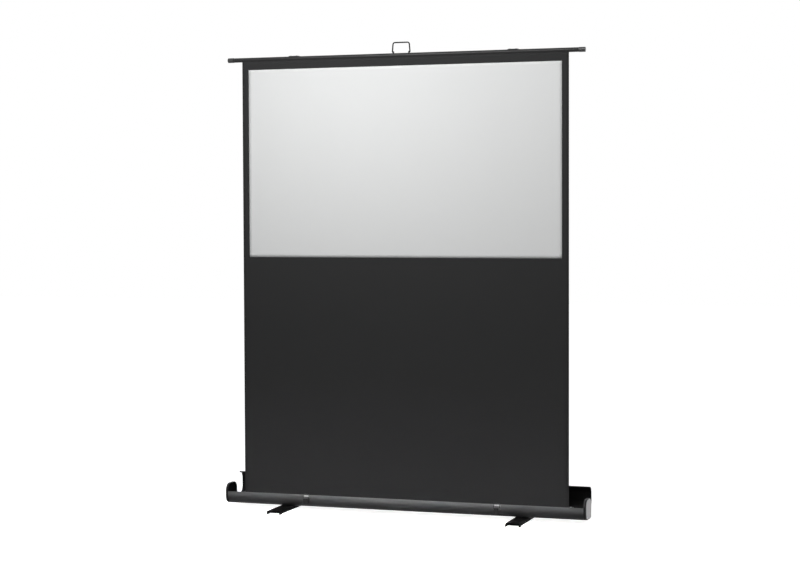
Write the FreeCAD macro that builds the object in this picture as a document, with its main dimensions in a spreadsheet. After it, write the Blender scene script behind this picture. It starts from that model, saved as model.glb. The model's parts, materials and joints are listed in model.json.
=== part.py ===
import FreeCAD, Part
import os
import re

import Sketcher

# Portable floor screen that pulls up out of its casing, standing raised with the lid open.
# Millimetres and degrees. X runs along the casing, the picture faces -Y, the floor is Z = 0.

SIZES = {
    # Cloth
    "picture_height": 931,
    "side_border": 34,
    "top_border": 40,
    "cloth_thickness": 0.4,
    "coat_thickness": 0.2,
    "cloth_front": 20,
    "cloth_gap": 0.3,
    # Top bar
    "bar_radius": 11,
    "bar_wall": 1.5,
    "bar_end_gap": 2,
    "bar_behind_cloth": 6,
    "bar_above_pivot": 10,
    "slot_gap": 0.5,
    "hem_rod_radius": 2,
    "bar_cap_length": 30,
    "bar_cap_wall": 0.8,
    "bar_cap_end": 2,
    "bar_cap_edge": 1.2,
    "fit_gap": 0.1,
    "saddle_length": 48,
    "saddle_thickness": 3,
    "ear_radius": 14,
    # Pull handle
    "handle_width": 90,
    "handle_lean": 4.9,
    "handle_height": 47,
    "wire_radius": 3.2,
    "handle_bend": 10,
    "handle_foot_bend": 3.6,
    "handle_stub": 8.5,
    "lug_gap": 0.4,
    "lug_rise": 3.8,
    "lug_width": 3,
    "lug_depth": 12,
    "lug_wall": 2.2,
    # Folding arms
    "arm_length": 1300,
    "arm_width": 24,
    "arm_thickness": 3,
    "arm_gap": 0.8,
    "arm_layers_y": 30,
    "arm_inset": 352,
    "base_pivot_height": 29,
    "raised_angle": 57,
    "pin_radius": 4,
    "pin_fit": 0.05,
    "pin_head_radius": 6.5,
    "pin_head_height": 1,
    "head_gap": 0.1,
    "bracket_width": 60,
    "bracket_foot": 22,
    "bend_radius": 2.9,
    # Casing
    "tray_length": 1824,
    "end_room": 78,
    "casing_depth": 112,
    "casing_height": 96,
    "casing_wall": 2.5,
    "corner_radius": 36,
    "rear_radius": 14,
    "port_radius": 4,
    "port_inset": 2,
    # Lid and its hinge
    "lid_wall": 2,
    "lid_gap": 0.6,
    "lid_rim": 6,
    "lid_end_gap": 1,
    "lid_open_angle": 88,
    "hinge_height": 27,
    "hinge_out": 1.5,
    "bead_radius": 3,
    "socket_wall": 1.9,
    "hinge_fit": 0.1,
    "neck_rise": 8,
    "mouth_start": -6,
    "mouth_end": 133,
    # End caps
    "cap_depth": 12,
    "cap_wall": 4,
    "cap_end": 3,
    "cap_proud": 1.5,
    "face_thickness": 2,
    "face_inset": 3,
    "face_edge": 0.8,
    "screw_radius": 1.9,
    "screw_head_radius": 3.6,
    "screw_head_height": 1.6,
    "screw_length": 30,
    # Roller
    "roller_radius": 20,
    "roller_wall": 1.2,
    "roller_height": 34,
    "roller_margin": 10,
    "wrap_thickness": 1.5,
    "plug_length": 30,
    "plug_flange": 3,
    "plug_flange_lip": 0.8,
    "gudgeon_radius": 5,
    "arbor_radius": 6,
    "arbor_length": 560,
    "spring_radius": 11,
    "spring_wire": 1.8,
    "spring_length": 480,
    "roller_bracket_gap": 2,
    "roller_bracket_thickness": 3,
    "roller_bracket_width": 34,
    "roller_bracket_foot": 20,
    # Latches
    "latch_inset": 423,
    "latch_width": 34,
    "latch_plate": 1.5,
    "latch_plate_height": 25,
    "latch_top_gap": 1.5,
    "latch_pivot_out": 7.5,
    "latch_pivot_drop": 20,
    "latch_pin_radius": 1.5,
    "latch_ear_x": 7.5,
    "latch_ear_width": 1.5,
    "latch_ear_radius": 3.2,
    "lever_half_width": 12.5,
    "lever_sheet": 1.8,
    "lever_reach": 24,
    "lever_top": 3,
    "lever_standoff": 4.3,
    "lever_cheek_drop": 11,
    "lever_cheek_margin": 0.5,
    "bail_pivot_in": 4,
    "bail_pivot_drop": 7,
    "bail_wire": 1.2,
    "bail_stub": 1.1,
    "bail_side_gap": 0.5,
    "bail_height": 31,
    "bail_bend": 3,
    "keeper_width": 24,
    "keeper_reach": 5,
    "keeper_height": 9,
    "keeper_sheet": 1.5,
    # Feet
    "foot_inset": 307,
    "foot_length": 414,
    "foot_width": 69,
    "foot_height": 18,
    "foot_sheet": 2,
    "foot_edge": 3,
    "foot_lip": 10,
    "foot_spacer": 3,
    "spacer_radius": 13,
    "foot_bolt_radius": 5,
    "foot_bolt_head": 8,
    "foot_bolt_head_height": 5,
    "slide_gap": 0.1,
    "nut_width": 16,
    "nut_height": 6,
    "pad_sole": 2,
    "pad_height": 7,
    "pad_width": 7,
    "pad_length": 26,
    "pad_inset": 1,
}

# Places that follow from the sizes above
DERIVED = {
    "cloth_y": "(-cloth_front)",
    "cloth_width": "(tray_length - 2 * end_room)",
    "picture_width": "(cloth_width - 2 * side_border)",
    "bar_length": "(tray_length - 2 * bar_end_gap)",
    "bar_y": "(cloth_y + bar_behind_cloth)",
    "casing_bottom": "(foot_height + foot_spacer)",
    "casing_top": "(casing_bottom + casing_height)",
    "casing_front": "(-casing_depth / 2)",
    "casing_rear": "(casing_depth / 2)",
    "floor_top": "(casing_bottom + casing_wall)",
    "corner_z": "(casing_top - corner_radius)",
    "front_top": "(corner_z - lid_gap)",
    "hinge_y": "(casing_rear + hinge_out)",
    "hinge_z": "(casing_bottom + hinge_height)",
    "socket_radius": "(bead_radius + hinge_fit)",
    "socket_outside": "(socket_radius + socket_wall)",
    "front_port": "((corner_radius - casing_wall - port_inset) * sin(45))",
    "rear_port": "((rear_radius - casing_wall - port_inset) * sin(45))",
    "end_x": "(tray_length / 2)",
    "foot_x": "(end_x - foot_inset)",
    "latch_x": "(end_x - latch_inset)",
    "arm_pivot_x": "(end_x - arm_inset)",
    "face_x": "(end_x + cap_depth)",
    "base_pivot_z": "(casing_bottom + base_pivot_height)",
    "elbow_reach": "(arm_length * cos(raised_angle))",
    "elbow_rise": "(arm_length * sin(raised_angle))",
    "elbow_z": "(base_pivot_z + elbow_rise)",
    "top_pivot_z": "(base_pivot_z + 2 * elbow_rise)",
    "bar_z": "(top_pivot_z + bar_above_pivot)",
    "bar_top": "(bar_z + bar_radius)",
    "layer_step": "(arm_thickness + arm_gap)",
    "counterbore": "(pin_head_height + 2 * head_gap)",
    "picture_top": "(bar_z - bar_radius - top_border)",
    "hem_reach": "(bar_radius - bar_wall - hem_rod_radius - fit_gap)",
    "hem_z": "(bar_z - sqrt(hem_reach ^ 2 - bar_behind_cloth ^ 2))",
    "roller_z": "(casing_bottom + roller_height)",
    "roller_y": "(cloth_y + cloth_thickness / 2 + cloth_gap + roller_radius + wrap_thickness)",
    "roller_length": "(cloth_width + 2 * roller_margin)",
    "roller_inside": "(roller_radius - roller_wall)",
    "roller_end": "(roller_length / 2 + plug_flange)",
    "latch_pivot_y": "(casing_front - latch_pivot_out)",
    "latch_pivot_z": "(front_top - latch_pivot_drop)",
    "bail_y": "(latch_pivot_y + bail_pivot_in)",
    "bail_z": "(latch_pivot_z - bail_pivot_drop)",
    "bail_half": "(lever_half_width + bail_side_gap + bail_wire)",
    "handle_z": "(bar_top + lug_rise)",
    "handle_top_width": "(handle_width - 2 * handle_height * tan(handle_lean))",
    "top_turn": "(handle_bend * tan(45 - handle_lean / 2))",
    "foot_turn": "(handle_foot_bend * tan(45 + handle_lean / 2))",
    "foot_top_z": "(foot_height - foot_sheet)",
}

doc = FreeCAD.newDocument("floor_screen")
sheet = doc.addObject("Spreadsheet::Sheet", "sizes")
nodes = []


def fill_sheet():
    for row, (name, size) in enumerate(SIZES.items(), start=1):
        sheet.set(f"A{row}", name)
        sheet.set(f"B{row}", str(size))
        sheet.setAlias(f"B{row}", name)
    doc.recompute()


def formula(text):
    """The text as an expression on the sheet, with derived places written out."""
    word = re.compile(r"\b[a-z_]+\b")
    while any(name in DERIVED for name in word.findall(text)):
        text = word.sub(lambda found: DERIVED.get(found[0], found[0]), text)
    return word.sub(lambda found: f"sizes.{found[0]}" if found[0] in SIZES else found[0], text)


def number(text):
    found = sheet.evalExpression(formula(text))
    return float(getattr(found, "Value", found))


def bind(thing, path, text):
    thing.setExpression(path, formula(text))


def place(thing, x="0", y="0", z="0", axis=(0, 0, 1), turn=None):
    if turn:
        spin = FreeCAD.Rotation(FreeCAD.Vector(*axis), number(turn))
        thing.Placement = FreeCAD.Placement(FreeCAD.Vector(), spin)
        bind(thing, "Placement.Rotation.Angle", turn)
    for letter, text in zip("xyz", (x, y, z)):
        bind(thing, f"Placement.Base.{letter}", text)
    return thing


def keep(thing):
    """Marks a finished object as one of the pieces that are written out."""
    nodes.append(thing)
    return thing


def new_body(label, **where):
    body = doc.addObject("PartDesign::Body", label)
    body.Label = label
    return place(body, **where)


# Sketches: a loop is a list of corners, and a corner with a radius is reached by an arc,
# left-handed round its centre where the radius is written with a minus in front.

def arc_between(start, end, radius, leftward):
    middle = (start + end) * 0.5
    along = end - start
    inward = FreeCAD.Vector(-along.y, along.x, 0).normalize()
    rise = max(radius ** 2 - (along.Length / 2) ** 2, 0) ** 0.5
    centre = middle + inward * (rise if leftward else -rise)
    first, last = (start, end) if leftward else (end, start)
    angles = [FreeCAD.Vector(p - centre) for p in (first, last)]
    turns = [FreeCAD.Vector(1, 0, 0).getAngle(a) * (1 if a.y >= 0 else -1) for a in angles]
    circle = Part.Circle(centre, FreeCAD.Vector(0, 0, 1), radius)
    return Part.ArcOfCircle(circle, *turns)


def fix_point(sketch, geometry, end, u, v):
    for kind, axis, text in (("DistanceX", -2, u), ("DistanceY", -1, v)):
        if text == "0":
            sketch.addConstraint(Sketcher.Constraint("PointOnObject", geometry, end, axis))
            continue
        held = Sketcher.Constraint(kind, -1, 1, geometry, end, number(text))
        bind(sketch, f"Constraints[{sketch.addConstraint(held)}]", text)


def draw_circle(sketch, u, v, radius):
    centre = FreeCAD.Vector(number(u), number(v), 0)
    circle = Part.Circle(centre, FreeCAD.Vector(0, 0, 1), number(radius))
    made = sketch.addGeometry(circle, False)
    size = sketch.addConstraint(Sketcher.Constraint("Radius", made, number(radius)))
    bind(sketch, f"Constraints[{size}]", radius)
    fix_point(sketch, made, 3, u, v)


def draw_loop(sketch, corners, closed=True):
    points = [FreeCAD.Vector(number(c[0]), number(c[1]), 0) for c in corners]
    count = len(corners)
    ends = []
    for i in range(count if closed else count - 1):
        here, there = points[i], points[(i + 1) % count]
        bend = corners[(i + 1) % count][2:]
        if not bend:
            made = sketch.addGeometry(Part.LineSegment(here, there), False)
            ends.append((made, 1, 2))
            continue
        leftward = not bend[0].startswith("-")
        radius = bend[0].lstrip("-")
        arc = arc_between(here, there, number(radius), leftward)
        made = sketch.addGeometry(arc, False)
        ends.append((made, 1, 2) if leftward else (made, 2, 1))
        size = sketch.addConstraint(Sketcher.Constraint("Radius", made, number(radius)))
        bind(sketch, f"Constraints[{size}]", radius)
    for i, (made, begin, finish) in enumerate(ends):
        fix_point(sketch, made, begin, *corners[i][:2])
        if closed or i + 1 < len(ends):
            after, after_begin, _ = ends[(i + 1) % len(ends)]
            sketch.addConstraint(Sketcher.Constraint("Coincident", made, finish, after, after_begin))
        else:
            fix_point(sketch, made, finish, *corners[i + 1][:2])


EYE_SIDES = 16


def many_sided(radius, u="0", v="0", sides=EYE_SIDES):
    """A small round hole or boss, drawn light with flats that clear the radius."""
    reach = f"({radius}) / cos(180 / {sides})"
    turns = [360 / sides * i for i in range(sides)]
    return [(f"{u} + {reach} * cos({turn})", f"{v} + {reach} * sin({turn})") for turn in turns]


def new_sketch(body, plane, loops, lift=None, closed=True):
    sketch = body.newObject("Sketcher::SketchObject", "outline")
    flat = next(f for f in body.Origin.OriginFeatures if f.Role == f"{plane}_Plane")
    sketch.AttachmentSupport = [(flat, "")]
    sketch.MapMode = "FlatFace"
    if lift:
        bind(sketch, "AttachmentOffset.Base.z", lift)
    for loop in loops:
        if isinstance(loop, tuple):
            draw_circle(sketch, *loop)
        else:
            draw_loop(sketch, loop, closed)
    return sketch


def feature(body, kind, sketch, length):
    made = body.newObject(f"PartDesign::{kind}", kind.lower())
    made.Profile = sketch
    made.SideType = "Symmetric"
    bind(made, "Length", length)
    return made


def pad(body, plane, loops, length, lift=None):
    return feature(body, "Pad", new_sketch(body, plane, loops, lift), length)


def pocket(body, plane, loops, length, lift=None):
    return feature(body, "Pocket", new_sketch(body, plane, loops, lift), length)


WIRE_SIDES = 8


def pipe(label, path, start, radius, **where):
    """A bent wire: a path in the XZ plane whose first run lies along X, and a many-sided section."""
    body = new_body(label, **where)
    spine = new_sketch(body, "XZ", [path], closed=False)
    turns = [360 / WIRE_SIDES * i for i in range(WIRE_SIDES)]
    corners = [(f"{radius} * cos({turn})", f"{start[1]} + {radius} * sin({turn})") for turn in turns]
    section = new_sketch(body, "YZ", [corners], lift=start[0])
    swept = body.newObject("PartDesign::AdditivePipe", "wire")
    swept.Profile = section
    swept.Spine = (spine, [f"Edge{i + 1}" for i in range(len(path) - 1)])
    return body


def soften(body, radius, chosen, kind="Fillet", measure="Radius"):
    """Rounds or bevels the edges of the body so far that chosen(edge middle, edge direction) picks."""
    doc.recompute()
    before = body.Tip
    picked = []
    for i, edge in enumerate(before.Shape.Edges, start=1):
        ends = [v.Point for v in edge.Vertexes]
        if len(ends) == 2 and chosen((ends[0] + ends[1]) * 0.5, (ends[1] - ends[0]).normalize()):
            picked.append(f"Edge{i}")
    eased = body.newObject(f"PartDesign::{kind}", "eased")
    eased.Base = (before, picked)
    bind(eased, measure, radius)


# Part solids

def box(label, low, high):
    made = doc.addObject("Part::Box", label)
    for size, a, b in zip(("Length", "Width", "Height"), low, high):
        bind(made, size, f"({b}) - ({a})")
    return place(made, *low)


ROD_SIDES = 16


def rod(label, along, radius, length, x, y, z, sides=ROD_SIDES):
    """A small round bar, drawn light with flats inside the radius, centred on a point along X, Y or Z."""
    made = doc.addObject("Part::Prism", label)
    made.Polygon = sides
    bind(made, "Circumradius", radius)
    bind(made, "Height", length)
    half = f"({length}) / 2"
    if along == "x":
        return place(made, f"{x} - {half}", y, z, (0, 1, 0), "90")
    if along == "y":
        return place(made, x, f"{y} + {half}", z, (1, 0, 0), "90")
    return place(made, x, y, f"{z} - {half}")


def bore(label, along, radius, length, x, y, z, sides=ROD_SIDES):
    """A tool for a round hole whose flats clear the radius."""
    return rod(label, along, f"({radius}) / cos(180 / {sides})", length, x, y, z, sides)


def stepped(label, along, steps, side=1, sides=ROD_SIDES, **where):
    """A small turned piece: each step gives its two ends along the axis, mirrored by side, and its radius."""
    pieces = []
    for start, end, radius in steps:
        at = {"x": "0", "y": "0", "z": "0"} | where
        at[along] = f"{at[along]} + {side} * (({start}) + ({end})) / 2"
        pieces.append(rod(f"{label}_step", along, radius, f"({end}) - ({start})", **at, sides=sides))
    return join(label, pieces)


def cut(label, base, tool):
    made = doc.addObject("Part::Cut", label)
    made.Base, made.Tool = base, tool
    return made


def join(label, pieces):
    made = doc.addObject("Part::MultiFuse", label)
    made.Shapes = pieces
    return made


def group(label, pieces):
    made = doc.addObject("Part::Compound", label)
    made.Links = pieces
    return made


SIDES = (("left", -1), ("right", 1))
PORTS = (
    ("casing_front + corner_radius - front_port", "casing_bottom + corner_radius - front_port"),
    ("casing_rear - rear_radius + rear_port", "casing_bottom + rear_radius - rear_port"),
)


def casing_loop(grow):
    """The closed casing's outline, round at the front and squarer behind the feet."""
    low, high = f"casing_bottom - {grow}", f"casing_top + {grow}"
    front, rear = f"casing_front - {grow}", f"casing_rear + {grow}"
    big, small = f"corner_radius + {grow}", f"rear_radius + {grow}"
    return [
        (front, "corner_z", big),
        (front, "casing_bottom + corner_radius"),
        ("casing_front + corner_radius", low, big),
        ("casing_rear - rear_radius", low),
        (rear, "casing_bottom + rear_radius", small),
        (rear, "corner_z"),
        ("casing_rear - corner_radius", high, big),
        ("casing_front + corner_radius", high),
    ]


FRONT_STRIPS = 3


def make_casing_front():
    """Front profile, a flat wall that rolls under to the floor, in strips that meet edge to edge."""
    wall = new_body("front_wall")
    pad(wall, "YZ", [[
        ("casing_front", "casing_bottom + corner_radius"),
        ("casing_front + casing_wall", "casing_bottom + corner_radius"),
        ("casing_front + casing_wall", "front_top"),
        ("casing_front", "front_top"),
    ]], "tray_length")
    strips = [front_strip(i) for i in range(FRONT_STRIPS)]
    add_port(strips[FRONT_STRIPS // 2], *PORTS[0])
    keep(group("casing_front", [wall] + strips))


def front_strip(i):
    strip = new_body(f"front_strip_{i}")
    inside = "(corner_radius - casing_wall)"
    start, end = 90 / FRONT_STRIPS * i, 90 / FRONT_STRIPS * (i + 1)
    pad(strip, "YZ", [[
        roll_point("corner_radius", start),
        roll_point("corner_radius", end) + ("corner_radius",),
        roll_point(inside, end),
        roll_point(inside, start) + (f"-{inside}",),
    ]], "tray_length")
    return strip


def roll_point(radius, turn):
    """A point of the rolled front corner, turned down from the flat wall."""
    return (f"casing_front + corner_radius - {radius} * cos({turn})",
            f"casing_bottom + corner_radius - {radius} * sin({turn})")


def make_casing_floor():
    body = new_body("casing_floor")
    pad(body, "YZ", [[
        ("casing_front + corner_radius", "casing_bottom"),
        ("casing_rear - rear_radius", "casing_bottom"),
        ("casing_rear - rear_radius", "floor_top"),
        ("casing_front + corner_radius", "floor_top"),
    ]], "tray_length")
    holes = [many_sided("foot_bolt_radius + fit_gap", f"{side} * foot_x") for name, side in SIDES]
    pocket(body, "XY", holes, "4 * casing_wall", lift="casing_bottom")
    keep(body)


def make_casing_rear():
    """Rear profile: the low back wall with the open hinge socket along its top."""
    body = new_body("casing_rear")
    wall = "casing_wall"
    pad(body, "YZ", [[
        ("casing_rear - rear_radius", "casing_bottom"),
        ("casing_rear", "casing_bottom + rear_radius", "rear_radius"),
        ("casing_rear", "hinge_z"),
        (f"casing_rear - {wall}", "hinge_z"),
        (f"casing_rear - {wall}", "casing_bottom + rear_radius"),
        ("casing_rear - rear_radius", "floor_top", f"-(rear_radius - {wall})"),
    ]], "tray_length")
    pad(body, "YZ", [("hinge_y", "hinge_z", "socket_outside")], "tray_length")
    pocket(body, "YZ", [("hinge_y", "hinge_z", "socket_radius")], "tray_length")
    reach = "2 * socket_outside"
    pocket(body, "YZ", [[
        ("hinge_y", "hinge_z"),
        (f"hinge_y + {reach} * cos(mouth_start)", f"hinge_z + {reach} * sin(mouth_start)"),
        ("hinge_y", f"hinge_z + 2 * {reach}"),
        (f"hinge_y + {reach} * cos(mouth_end)", f"hinge_z + {reach} * sin(mouth_end)"),
    ]], "tray_length")
    add_port(body, *PORTS[1])
    keep(body)


def add_port(body, y, z):
    pad(body, "YZ", [many_sided("port_radius", y, z)], "tray_length")
    pocket(body, "YZ", [many_sided("screw_radius + fit_gap", y, z)], "tray_length")


def make_lid():
    """Drawn closed about the hinge axis, then swung open behind the cloth."""
    body = new_body("lid_shell", y="hinge_y", z="hinge_z", axis=(1, 0, 0), turn="-lid_open_angle")
    front, rear = "casing_front - hinge_y", "casing_rear - hinge_y"
    top, corner = "casing_top - hinge_z", "corner_z - hinge_z"
    inside = "(corner_radius - lid_wall)"
    pad(body, "YZ", [[
        ("lid_wall / 2", "0"),
        (rear, "neck_rise"),
        (rear, corner),
        (f"{rear} - corner_radius", top, "corner_radius"),
        (f"{front} + corner_radius", top),
        (front, corner, "corner_radius"),
        (f"{front} + lid_rim", corner),
        (f"{front} + lid_rim", f"{corner} + lid_wall"),
        (f"{front} + corner_radius - sqrt({inside} ^ 2 - lid_wall ^ 2)", f"{corner} + lid_wall"),
        (f"{front} + corner_radius", f"{top} - lid_wall", f"-{inside}"),
        (f"{rear} - corner_radius", f"{top} - lid_wall"),
        (f"{rear} - lid_wall", corner, f"-{inside}"),
        (f"{rear} - lid_wall", "neck_rise"),
        ("-lid_wall / 2", "0"),
    ]], "tray_length - 2 * lid_end_gap")
    pad(body, "YZ", [("0", "0", "bead_radius")], "tray_length - 2 * lid_end_gap")
    return keep(body)


def make_keepers():
    """Small hooks outside the lid's free edge, which the latch bails pull on."""
    front, corner = "casing_front - hinge_y", "corner_z - hinge_z"
    hooks = []
    for name, side in SIDES:
        body = new_body(f"{name}_keeper", x=f"{side} * latch_x", y="hinge_y", z="hinge_z",
                        axis=(1, 0, 0), turn="-lid_open_angle")
        drop = f"{front} + corner_radius - sqrt((corner_radius) ^ 2 - keeper_height ^ 2)"
        pad(body, "YZ", [[
            (front, corner),
            (drop, f"{corner} + keeper_height", "-corner_radius"),
            (f"{front} - keeper_sheet", f"{corner} + keeper_height"),
            (f"{front} - keeper_reach", f"{corner} + keeper_height / 2"),
            (f"{front} - keeper_sheet", f"{corner} + keeper_height / 2"),
            (f"{front} - keeper_sheet", corner),
        ]], "keeper_width")
        hooks.append(body)
    return keep(group("latch_keepers", hooks))


def make_end(name, side):
    cap = new_body(f"{name}_end_cap", x=f"{side} * (end_x + cap_depth / 2)")
    holes = [many_sided("screw_radius + fit_gap", y, z) for y, z in PORTS]
    pad(cap, "YZ", [casing_loop("cap_proud")], "cap_depth")
    pocket(cap, "YZ", [casing_loop("(cap_proud - cap_wall)")], "cap_depth - cap_end",
           lift=f"{-side} * cap_end / 2")
    for y, z in PORTS:
        pad(cap, "YZ", [many_sided("port_radius", y, z)], "cap_depth")
    pocket(cap, "YZ", holes, "2 * cap_depth")
    keep(cap)
    face = new_body(f"{name}_end_face", x=f"{side} * (face_x + face_thickness / 2)")
    pad(face, "YZ", [casing_loop("(cap_proud - face_inset)")], "face_thickness")
    bevel_end(face, side * number("face_thickness / 2"), "face_edge")
    pocket(face, "YZ", holes, "2 * face_thickness")
    keep(face)


def bevel_end(body, x, size):
    soften(body, size, lambda middle, way: abs(middle.x - x) < 1e-4 and abs(way.x) < 1e-6, "Chamfer", "Size")


def make_end_screws():
    keep(group("end_screws", [
        stepped(f"{name}_screw", "x", [
            ("-screw_length", "0", "screw_radius"),
            ("0", "screw_head_height", "screw_head_radius"),
        ], side, x=f"{side} * (face_x + face_thickness)", y=y, z=z)
        for name, side in SIDES for y, z in PORTS]))


def make_cloth():
    half = "cloth_width / 2"
    back, front = "cloth_y + cloth_thickness / 2", "cloth_y - cloth_thickness / 2"
    keep(box("screen_cloth", (f"-{half}", front, "roller_z"),
             (half, back, "hem_z - hem_rod_radius - fit_gap")))
    keep(box("picture_surface",
             ("-picture_width / 2", f"{front} - coat_thickness", "picture_top - picture_height"),
             ("picture_width / 2", front, "picture_top")))


def make_bar():
    tube = new_body("bar_tube", y="bar_y", z="bar_z")
    pad(tube, "YZ", [("0", "0", "bar_radius"), ("0", "0", "bar_radius - bar_wall")], "bar_length")
    half_slot = "cloth_thickness / 2 + slot_gap"
    pocket(tube, "YZ", [[
        (f"-bar_behind_cloth - ({half_slot})", "-bar_radius"),
        (f"-bar_behind_cloth + {half_slot}", "-bar_radius"),
        (f"-bar_behind_cloth + {half_slot}", "-bar_radius / 2"),
        (f"-bar_behind_cloth - ({half_slot})", "-bar_radius / 2"),
    ]], "bar_length")
    keep(tube)
    keep(rod("hem_rod", "x", "hem_rod_radius", "cloth_width", "0", "cloth_y", "hem_z"))
    for name, side in SIDES:
        make_bar_cap(name, side)


CAP_SIDES = 24


def make_bar_cap(name, side):
    """A sleeve over the end of the bar, closed and bevelled outside."""
    middle = "bar_length / 2 + bar_cap_end - bar_cap_length / 2"
    cap = new_body(f"{name}_bar_cap", x=f"{side} * ({middle})", y="bar_y", z="bar_z")
    inside = "bar_radius + fit_gap"
    pad(cap, "YZ", [many_sided(f"{inside} + bar_cap_wall", sides=CAP_SIDES)], "bar_cap_length")
    pocket(cap, "YZ", [many_sided(inside, sides=CAP_SIDES)], "bar_cap_length - bar_cap_end",
           lift=f"{-side} * bar_cap_end / 2")
    bevel_end(cap, side * number("bar_cap_length / 2"), "bar_cap_edge")
    keep(cap)


def layer_front(layer):
    return f"(arm_layers_y + {layer - 1} * layer_step)"


def make_saddle(name, side, layer):
    """A strap over the bar that carries the arm's top pivot behind the cloth."""
    saddle = new_body(f"{name}_saddle", x=f"{side} * arm_pivot_x", y="bar_y", z="bar_z")
    outer = "(bar_radius + saddle_thickness)"
    front = f"{layer_front(layer)} - bar_y"
    bottom = "-(bar_above_pivot + ear_radius)"
    pad(saddle, "YZ", [[
        ("bar_radius * cos(130)", "bar_radius * sin(130)"),
        ("0", "bar_radius", "-bar_radius"),
        (front, "bar_radius"),
        (front, bottom),
        (f"{front} + arm_thickness", bottom),
        (f"{front} + arm_thickness", outer),
        ("0", outer),
        (f"{outer} * cos(130)", f"{outer} * sin(130)", outer),
    ]], "saddle_length")
    pocket(saddle, "XZ", [many_sided("pin_radius", v="-bar_above_pivot")], "4 * arm_thickness",
           lift=f"-({front} + arm_thickness / 2)")
    low = number(bottom)
    soften(saddle, "ear_radius", lambda middle, way: abs(way.y) > 0.99 and abs(middle.z - low) < 1e-3)
    keep(saddle)


def flush_pin(label, y_start, y_head, head_way, **where):
    """A pin along Y whose head lies flush in a counterbore: head_way is the side it lies on."""
    tip = f"{head_way} * ({y_head}) - head_gap"
    neck = f"{tip} - pin_head_height"
    return stepped(label, "y", [
        (f"{head_way} * ({y_start})", neck, "pin_radius"),
        (neck, tip, "pin_head_radius"),
    ], head_way, **where)


def make_arm(name, layer, x, z, turn, near, far):
    """A flat bar from pivot to pivot; near and far give each eye's fit and counterbored face."""
    arm = new_body(name, x=x, y=f"{layer_front(layer)} + arm_thickness / 2", z=z, axis=(0, 1, 0), turn=turn)
    half = "arm_width / 2"
    pad(arm, "XZ", [[
        ("0", f"-{half}", half),
        ("arm_length", f"-{half}"),
        (f"arm_length + {half}", "0", half),
        ("arm_length", half, half),
        ("0", half),
        (f"-{half}", "0", half),
    ]], "arm_thickness")
    for at, (fit, face) in (("0", near), ("arm_length", far)):
        eye = f"pin_radius + {fit}" if fit else "pin_radius"
        pocket(arm, "XZ", [many_sided(eye, at)], "2 * arm_thickness")
        if face:
            pocket(arm, "XZ", [many_sided("pin_head_radius + 2 * head_gap", at)], "2 * counterbore",
                   lift=f"{face} * arm_thickness / 2")
    return keep(arm)


def make_arms():
    """Two elbow arms that cross behind the cloth, each bar in a layer of its own."""
    running = ("pin_fit", 1)
    fixed = (None, 0)
    behind = ("pin_fit", -1)
    for name, side, layer in (("left", -1, 1), ("right", 1, 3)):
        rising = "raised_angle" if side < 0 else "(180 - raised_angle)"
        falling = "(180 - raised_angle)" if side < 0 else "raised_angle"
        pivot_x = f"{side} * arm_pivot_x"
        elbow_x = f"{side} * (arm_pivot_x - elbow_reach)"
        make_arm(f"lower_{name}_arm", layer, pivot_x, "base_pivot_z", f"-{rising}", running, fixed)
        make_arm(f"upper_{name}_arm", layer + 1, elbow_x, "elbow_z", f"-{falling}", behind, behind)
        rear = f"{layer_front(layer + 1)} + arm_thickness"
        keep(flush_pin(f"{name}_elbow_pin", layer_front(layer), rear, 1, x=elbow_x, z="elbow_z"))
        make_saddle(name, side, layer)
        make_base_bracket(name, side, layer + 1)
    keep(group("base_pins", [
        flush_pin(f"{name}_base_pin", f"{layer_front(layer + 1)} + arm_thickness", layer_front(layer), -1,
                  x=f"{side} * arm_pivot_x", z="base_pivot_z")
        for name, side, layer in (("left", -1, 1), ("right", 1, 3))]))
    keep(group("top_pins", [
        flush_pin(f"{name}_top_pin", layer_front(layer), f"{layer_front(layer + 1)} + arm_thickness", 1,
                  x=f"{side} * arm_pivot_x", z="top_pivot_z")
        for name, side, layer in (("left", -1, 1), ("right", 1, 3))]))


def make_base_bracket(name, side, layer):
    """An angle on the casing floor that carries the arm's base pivot."""
    bracket = new_body(f"{name}_arm_bracket", x=f"{side} * arm_pivot_x")
    front = layer_front(layer)
    rear = f"{front} + arm_thickness"
    top = "base_pivot_z + ear_radius"
    pad(bracket, "YZ", [[
        (f"{front} - bracket_foot", "floor_top"),
        (f"{rear} - bend_radius", "floor_top"),
        (rear, "floor_top + bend_radius", "bend_radius"),
        (rear, top),
        (front, top),
        (front, "floor_top + arm_thickness"),
        (f"{front} - bracket_foot", "floor_top + arm_thickness"),
    ]], "bracket_width")
    pocket(bracket, "XZ", [many_sided("pin_radius", v="base_pivot_z")], "4 * arm_thickness",
           lift=f"-({front} + arm_thickness / 2)")
    high = number(top)
    soften(bracket, "ear_radius", lambda middle, way: abs(way.y) > 0.99 and abs(middle.z - high) < 1e-3)
    keep(bracket)


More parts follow.
